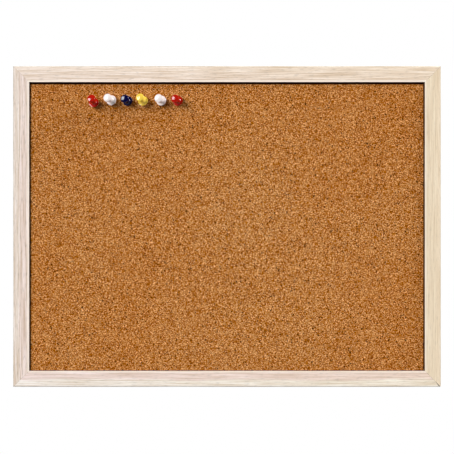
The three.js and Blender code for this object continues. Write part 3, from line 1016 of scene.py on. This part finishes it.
# The arris colours are painted shade on the outer rounded arris; the highlight shares paint a highlight
# along the inner arris.
RAIL_FINISHES = {
    "top_rail": {
        "name": "pine_top", "quarter_turns": 0, "inner": "#ead9cb", "outer": "#efdfd1",
        "boundary": 6 * MM, "arris": "#cfc4b0", "arris_highlight": 0.95, "contrast": 1.0, "grain_shift": 0.31},
    "right_stile": {
        "name": "pine_right", "quarter_turns": 1, "inner": "#eadac6", "outer": "#ecdbc7",
        "boundary": 5 * MM, "arris": "#d0c3b0", "arris_highlight": 0.4, "contrast": 0.6, "grain_shift": 1.17},
    "bottom_rail": {
        "name": "pine_bottom", "quarter_turns": 2, "inner": "#ead6ce", "outer": "#f0e7dd",
        "boundary": 7 * MM, "arris": "#cfc6ba", "arris_highlight": 0.5, "contrast": 0.9, "grain_shift": 2.43},
    "left_stile": {
        "name": "pine_left", "quarter_turns": 3, "inner": "#e5d3c9", "outer": "#e6d8cc",
        "boundary": 6 * MM, "arris": "#b0a698", "arris_highlight": 0.8, "contrast": 1.15, "grain_shift": 3.71},
}
for name, finish in RAIL_FINISHES.items():
    wear(rails[name], pine(**finish))
print("pine on", len(rails), "rails")

# %% [markdown]
# ### Pressed cork
#
# The sheet is ground cork bark, granules under a millimetre or so across, pressed with a binder and sanded.
# Each granule has its own brown, and a few larger bits are dark outer bark. Noise alone would look like
# sponge. Voronoi cells give the granules: each cell has one random tone. The cells' coordinates are stirred
# with noise first, so that no cell has straight sides. The sanded sheet is quite dull, without any gloss.

# %% Cork
GRANULE = 0.5
BARK_BIT = 0.9
BARK_SHARE = 0.032
BARK_BROWN = "#2c0600"
CORK_BROWNS = ((0.0, "#601b00"), (0.6, "#ae6300"), (1.0, "#fcc584"))
STIR_SIZE = 0.7
STIR_PUSH = 0.2 * MM

cork_finish, tree, shader = new_finish("pressed_cork", Roughness=0.92, Specular_IOR_Level=0)
place = add(tree, "ShaderNodeTexCoord", {}).outputs["Object"]
stir = add(tree, "ShaderNodeTexNoise", {
    "Vector": place, "Scale": per_metre(STIR_SIZE), "Detail": 1}).outputs["Color"]
push = add(tree, "ShaderNodeVectorMath", {
    0: stir, 1: (STIR_PUSH,) * 3}, operation="MULTIPLY").outputs[0]
stirred = add(tree, "ShaderNodeVectorMath", {0: place, 1: push}, operation="ADD").outputs[0]
granules = add(tree, "ShaderNodeTexVoronoi", {"Vector": stirred, "Scale": per_metre(GRANULE)})
tone = add(tree, "ShaderNodeSeparateColor", {"Color": granules.outputs["Color"]}).outputs[0]
ramp = add(tree, "ShaderNodeValToRGB", {0: tone})
ramp.color_ramp.elements.new(CORK_BROWNS[1][0])
for stop, (position, brown) in zip(ramp.color_ramp.elements, CORK_BROWNS):
    stop.position = position
    stop.color = colour(brown)
browns = ramp.outputs["Color"]
bark = add(tree, "ShaderNodeTexVoronoi", {"Vector": stirred, "Scale": per_metre(BARK_BIT)})
bark_tone = add(tree, "ShaderNodeSeparateColor", {"Color": bark.outputs["Color"]}).outputs[2]
bark_here = add(tree, "ShaderNodeMath", {0: bark_tone, 1: BARK_SHARE}, operation="LESS_THAN").outputs[0]
specked = add(tree, "ShaderNodeMix", {
    0: bark_here, 6: browns, 7: colour(BARK_BROWN)}, data_type="RGBA").outputs[2]
print("cork granules of", GRANULE, "mm")

# %% [markdown]
# A pool of light is painted on the sheet: its middle is lighter and yellower, and its rim, towards the
# frame, stays redder. The tint follows the distance from the middle. A slow drift is added to that distance,
# so that no ring shows.

# %% Painted light on the cork
# Painted light: the middle of the sheet is lighter and yellower than its rim.
LIGHT_POOL_REACH = 200 * MM
LIGHT_POOL_TINT = (1.07, 1.15, 1.35, 1)
RIM_TINT = (1.02, 1.0, 1.02, 1)
DRIFT_SIZE = 120
DRIFT_SWING = 80 * MM
from_middle = add(tree, "ShaderNodeVectorMath", {
    0: place, 1: (cork_low + cork_high) / 2}, operation="DISTANCE").outputs["Value"]
drift = add(tree, "ShaderNodeTexNoise", {
    "Vector": place, "Scale": per_metre(DRIFT_SIZE), "Detail": 1}).outputs[0]
swing = add(tree, "ShaderNodeMapRange", {
    "Value": drift, "From Min": 0.3, "From Max": 0.7,
    "To Min": -DRIFT_SWING, "To Max": DRIFT_SWING}).outputs[0]
reach = add(tree, "ShaderNodeMath", {0: from_middle, 1: swing}, operation="ADD").outputs[0]
towards_rim = add(tree, "ShaderNodeMapRange", {"Value": reach, "From Max": LIGHT_POOL_REACH}).outputs[0]
tint = add(tree, "ShaderNodeMix", {
    0: towards_rim, 6: LIGHT_POOL_TINT, 7: RIM_TINT}, data_type="RGBA").outputs[2]
tinted = add(tree, "ShaderNodeVectorMath", {0: specked, 1: tint}, operation="MULTIPLY").outputs[0]
surface(tree, shader, tinted, tone, 0.35, 0.08)
wear(cork, cork_finish)
print("cork lit_by_painted_light as far as", LIGHT_POOL_REACH / MM, "mm from its middle")

# %% [markdown]
# ### Boards behind the cork
#
# The core is soft fibreboard, a felt of wood fibres that shows only in the gap round the cork. Its browns
# are darker than the fibreboard's own, as painted shade in that gap. The back is hardboard, pressed on a
# wire screen, so its rough side carries the print of the wires. Both are plain slabs whose solids are right,
# and they only need their finish.

# %% Fibreboard and hardboard
# The bands of a Wave texture whose scale is 1 repeat after this distance.
WAVE_PERIOD = 2 * math.pi / 20
BLOTCH = 30
BLOTCH_SHARE = 0.2


def fibre_finish(name, dark, light, fibre, screen):
    """Felted wood fibre in two browns, printed by a wire screen of the given pitch where there is one."""
    material, tree, shader = new_finish(name, Roughness=0.85, IOR=1.45)
    place = add(tree, "ShaderNodeTexCoord", {}).outputs["Object"]
    felt = add(tree, "ShaderNodeTexNoise", {
        "Vector": place, "Scale": per_metre(fibre), "Detail": 5, "Roughness": 0.7,
        "Distortion": 1.5}).outputs[0]
    blotch = add(tree, "ShaderNodeTexNoise", {
        "Vector": place, "Scale": per_metre(BLOTCH), "Detail": 3}).outputs[0]
    both = add(tree, "ShaderNodeMix", {0: BLOTCH_SHARE, 2: felt, 3: blotch}).outputs[0]
    share = add(tree, "ShaderNodeMapRange", {
        "Value": both, "From Min": 0.35, "From Max": 0.65}).outputs[0]
    height = felt
    if screen:
        warp = add(tree, "ShaderNodeTexWave", {
            "Vector": place, "Scale": WAVE_PERIOD * per_metre(screen)}, bands_direction="X").outputs[0]
        weft = add(tree, "ShaderNodeTexWave", {
            "Vector": place, "Scale": WAVE_PERIOD * per_metre(screen)}, bands_direction="Z").outputs[0]
        wires = add(tree, "ShaderNodeMath", {0: warp, 1: weft}, operation="MULTIPLY").outputs[0]
        height = add(tree, "ShaderNodeMath", {0: wires, 1: felt}, operation="ADD").outputs[0]
        dimmed = add(tree, "ShaderNodeMapRange", {
            "Value": wires, "To Min": 0.6, "To Max": 1.2}).outputs[0]
        share = add(tree, "ShaderNodeMath", {0: share, 1: dimmed}, operation="MULTIPLY").outputs[0]
    browns = add(tree, "ShaderNodeMix", {
        0: share, 6: colour(dark), 7: colour(light)}, data_type="RGBA").outputs[2]
    surface(tree, shader, browns, height, 0.4, 0.15)
    return material


# A real screen's wires are about 1.5 mm apart. They are drawn wider apart here, so that the print shows.
SCREEN_PITCH = 5
# The core's browns are dark, as painted shade in the gap round the cork.
shade_painted_fibreboard = fibre_finish("shade_painted_fibreboard", "#2c1206", "#48240e", 2.0, 0)
hardboard = fibre_finish("screen_backed_hardboard", "#523c26", "#7a5d40", 3.0, SCREEN_PITCH)
wear(frame["nodes"]["fibre_core"], shade_painted_fibreboard)
wear(frame["nodes"]["hardboard_back"], hardboard)
print("hardboard printed by a screen of", SCREEN_PITCH, "mm")

# %% [markdown]
# ### Moulded polystyrene
#
# The handles are injection-moulded in hard glossy polystyrene, coloured right through. The plastic is never
# quite even: faint flow marks shift its tone, and the polish of the mould varies. Its index of refraction
# is near 1.59, which gives bright highlights. Fingers leave a thin dull film on it, so the Specular IOR
# Level is a little under its usual 0.5.

# %% Polystyrene
FLOW_MARK = 5
FILMED_GLOSS = 0.38
POLISH_SPREAD = 0.06


def polystyrene(name, deep, bright, roughness):
    """Glossy moulded plastic whose colour and polish drift with the flow marks."""
    material, tree, shader = new_finish(name, IOR=1.59, Specular_IOR_Level=FILMED_GLOSS)
    place = add(tree, "ShaderNodeTexCoord", {}).outputs["Object"]
    flow = add(tree, "ShaderNodeTexNoise", {
        "Vector": place, "Scale": per_metre(FLOW_MARK), "Detail": 2, "Distortion": 0.8}).outputs[0]
    tone = add(tree, "ShaderNodeMix", {
        0: flow, 6: colour(deep), 7: colour(bright)}, data_type="RGBA").outputs[2]
    polish = add(tree, "ShaderNodeMapRange", {
        "Value": flow, "From Min": 0.3, "From Max": 0.7,
        "To Min": roughness, "To Max": roughness + POLISH_SPREAD}).outputs[0]
    tree.links.new(polish, shader.inputs["Roughness"])
    surface(tree, shader, tone, flow, 0.08, 0.1)
    return material


plastics = {
    "red": polystyrene("red_polystyrene", "#a21004", "#b81a08", 0.08),
    "white": polystyrene("white_polystyrene", "#eadedb", "#f0e5e2", 0.1),
    "navy": polystyrene("navy_polystyrene", "#01022a", "#03063e", 0.06),
    "yellow": polystyrene("yellow_polystyrene", "#e6bf42", "#f2d256", 0.09),
}
for pin, handle in zip(pins, handles):
    wear(handle, plastics[pin["colour"]])
print("plastic in", sorted(plastics))

# %% [markdown]
# ### Steel
#
# The hangers, screws and staples are zinc-plated: a soft grey metal with a fine cloudy bloom. The needles
# are drawn wire with a bright plating, which has a higher polish and a finer bloom. Both are metals, with
# their reflections coloured by the base colour and the index of refraction left alone.


# %% Zinc plate and needle wire
def plated_steel(name, dull, clean, bloom, low, high):
    """Plated steel whose tone and polish vary with a cloudy bloom of the given size."""
    material, tree, shader = new_finish(name, Metallic=1.0)
    place = add(tree, "ShaderNodeTexCoord", {}).outputs["Object"]
    clouds = add(tree, "ShaderNodeTexNoise", {
        "Vector": place, "Scale": per_metre(bloom), "Detail": 4, "Roughness": 0.65}).outputs[0]
    share = add(tree, "ShaderNodeMapRange", {
        "Value": clouds, "From Min": 0.35, "From Max": 0.65}).outputs[0]
    tone = add(tree, "ShaderNodeMix", {
        0: share, 6: colour(dull), 7: colour(clean)}, data_type="RGBA").outputs[2]
    polish = add(tree, "ShaderNodeMapRange", {"Value": share, "To Min": high, "To Max": low}).outputs[0]
    tree.links.new(polish, shader.inputs["Roughness"])
    surface(tree, shader, tone, clouds, 0.15, 0.03)
    return material


zinc = plated_steel("zinc_plated_steel", "#9a9d9e", "#c6c9ca", 1.6, 0.28, 0.45)
bright_wire = plated_steel("bright_needle_wire", "#b9bbbc", "#d6d8d8", 0.8, 0.16, 0.28)
for piece in steel_pieces:
    wear(piece, zinc)
for needle in needles:
    wear(needle, bright_wire)
staples = [node for name, node in frame["nodes"].items() if name.startswith("staple_")]
for staple in staples:
    wear(staple, zinc)
print("zinc on", len(steel_pieces) + len(staples), "pieces, bright wire on", len(needles))

# %% [markdown]
# ## Light, floor and camera
#
# The photograph is a studio shot on white, square to the board. One large softbox stands far away at the
# left, a little above, and throws the pins' shadows to the right. A small one at the right lights the pins'
# right-hand sides and puts a spark on each flange, and one straight behind lights the back. A lamp of power
# P lights a facing surface at the distance d with P / (pi d squared), and white paper looks white under pi,
# so each lamp is given by its share of that.

# %% Softboxes
AIM = Vector((0, -RAIL_DEPTH, BOARD_CENTRE))


def softbox(name, direction, distance, size, level):
    """A square area lamp that stands in a direction from the board, faces it and gives a share of white."""
    toward = Vector(direction).normalized()
    clear_selection()
    bpy.ops.object.light_add(type="AREA", location=AIM + toward * distance)
    lamp = bpy.context.object
    lamp.name = name
    lamp.data.size = size
    lamp.data.energy = level * math.pi ** 2 * distance ** 2
    lamp.rotation_euler = toward.to_track_quat("Z", "Y").to_euler()
    print(name, round(lamp.data.energy), "W at", distance, "m")


softbox("key_softbox", (-0.68, -0.64, 0.36), 12, 6.6, 1.255)
softbox("fill_softbox", (0.85, -0.12, 0.50), 3, 0.8, 1.1)
softbox("back_softbox", (0, 0.93, 0.36), 3, 1.6, 0.7)

# %% [markdown]
# The surround is white to the camera. Reflections see the white backdrop behind the board too, but a dim
# room in front of it, which keeps the dark pins dark. Matt surfaces get a weak even light from all round.

# %% Surround
AMBIENT = 0.03
DIM_ROOM = 0.04
BACKDROP_EDGE = 0.3
world = bpy.data.worlds.new("white_surround")
world.use_nodes = True
bpy.context.scene.world = world
tree = world.node_tree
tree.nodes.clear()
ray = add(tree, "ShaderNodeLightPath", {})
mirrored = add(tree, "ShaderNodeMath", {
    0: ray.outputs["Is Glossy Ray"], 1: ray.outputs["Is Transmission Ray"]}, operation="MAXIMUM").outputs[0]
direction = add(tree, "ShaderNodeTexCoord", {}).outputs["Generated"]
behind = add(tree, "ShaderNodeSeparateXYZ", {"Vector": direction}).outputs["Y"]
backdrop = add(tree, "ShaderNodeMapRange", {
    "Value": behind, "From Max": BACKDROP_EDGE, "To Min": DIM_ROOM}).outputs[0]
unseen = add(tree, "ShaderNodeMix", {0: mirrored, 2: AMBIENT, 3: backdrop}).outputs[0]
strength = add(tree, "ShaderNodeMix", {0: ray.outputs["Is Camera Ray"], 2: unseen, 3: 1.0}).outputs[0]
surround = add(tree, "ShaderNodeBackground", {"Color": (1, 1, 1, 1), "Strength": strength}).outputs[0]
add(tree, "ShaderNodeOutputWorld", {"Surface": surround})
print("white surround, ambient light", AMBIENT)

# %% [markdown]
# The board hangs, so the floor lies well below it. It is plain matt paper, grey, so that it throws little
# light up at the pins. To the camera a veil of white makes it pale. The veil is thinnest near the middle,
# where the floor keeps the board's shadow, and grows until the floor runs out into the white surround.

# %% Floor
FLOOR_DROP = 0.9
FLOOR_RADIUS = 3.0
FLOOR_FACETS = 96
FLOOR_GREY = "#989898"
THINNEST_VEIL = 0.72
VEIL_START = 0.25
VEIL_FULL = 0.7
floor_height = BOARD_CENTRE - BOARD_HEIGHT / 2 - FLOOR_DROP
clear_selection()
bpy.ops.mesh.primitive_circle_add(
    vertices=FLOOR_FACETS, radius=FLOOR_RADIUS, fill_type="NGON", location=(0, 0, floor_height))
floor = bpy.context.object
floor.name = "studio_floor"
floor_finish, tree, shader = new_finish("matt_grey_paper", Roughness=0.8)
place = add(tree, "ShaderNodeTexCoord", {}).outputs["Object"]
reach = add(tree, "ShaderNodeVectorMath", {0: place}, operation="LENGTH").outputs["Value"]
veil = add(tree, "ShaderNodeMapRange", {
    "Value": reach, "From Min": VEIL_START, "From Max": VEIL_FULL, "To Min": THINNEST_VEIL},
    interpolation_type="SMOOTHSTEP").outputs[0]
ray = add(tree, "ShaderNodeLightPath", {})
veiled = add(tree, "ShaderNodeMath", {
    0: veil, 1: ray.outputs["Is Camera Ray"]}, operation="MULTIPLY").outputs[0]
shader.inputs["Base Color"].default_value = colour(FLOOR_GREY)
glow = add(tree, "ShaderNodeEmission", {"Color": (1, 1, 1, 1), "Strength": 1.0}).outputs[0]
mixed = add(tree, "ShaderNodeMixShader", {0: veiled, 1: shader.outputs[0], 2: glow}).outputs[0]
tree.links.new(mixed, tree.nodes["Material Output"].inputs["Surface"])
wear(floor, floor_finish)
print("floor", FLOOR_DROP, "m below the board")

# %% [markdown]
# The camera looks straight at the board, a hair below its middle, as the photograph is framed. The lens
# follows from the distance and from the width that the picture takes in at the board's front.

# %% Camera
CAMERA_DISTANCE = 0.8
FIELD_WIDTH = 0.4243
CAMERA_DROP = 0.47 * MM
SENSOR = 36
clear_selection()
bpy.ops.object.camera_add(
    location=AIM + Vector((0, -CAMERA_DISTANCE, -CAMERA_DROP)), rotation=(math.pi / 2, 0, 0))
camera = bpy.context.object
camera.data.sensor_width = SENSOR
camera.data.lens = SENSOR * CAMERA_DISTANCE / FIELD_WIDTH
bpy.context.scene.camera = camera
bpy.context.scene.view_settings.view_transform = "Standard"
print("camera with a lens of", round(camera.data.lens, 1), "mm")

# %% [markdown]
# ## Last step
#
# The last line leaves nothing selected.

# %% Clear the selection
clear_selection()
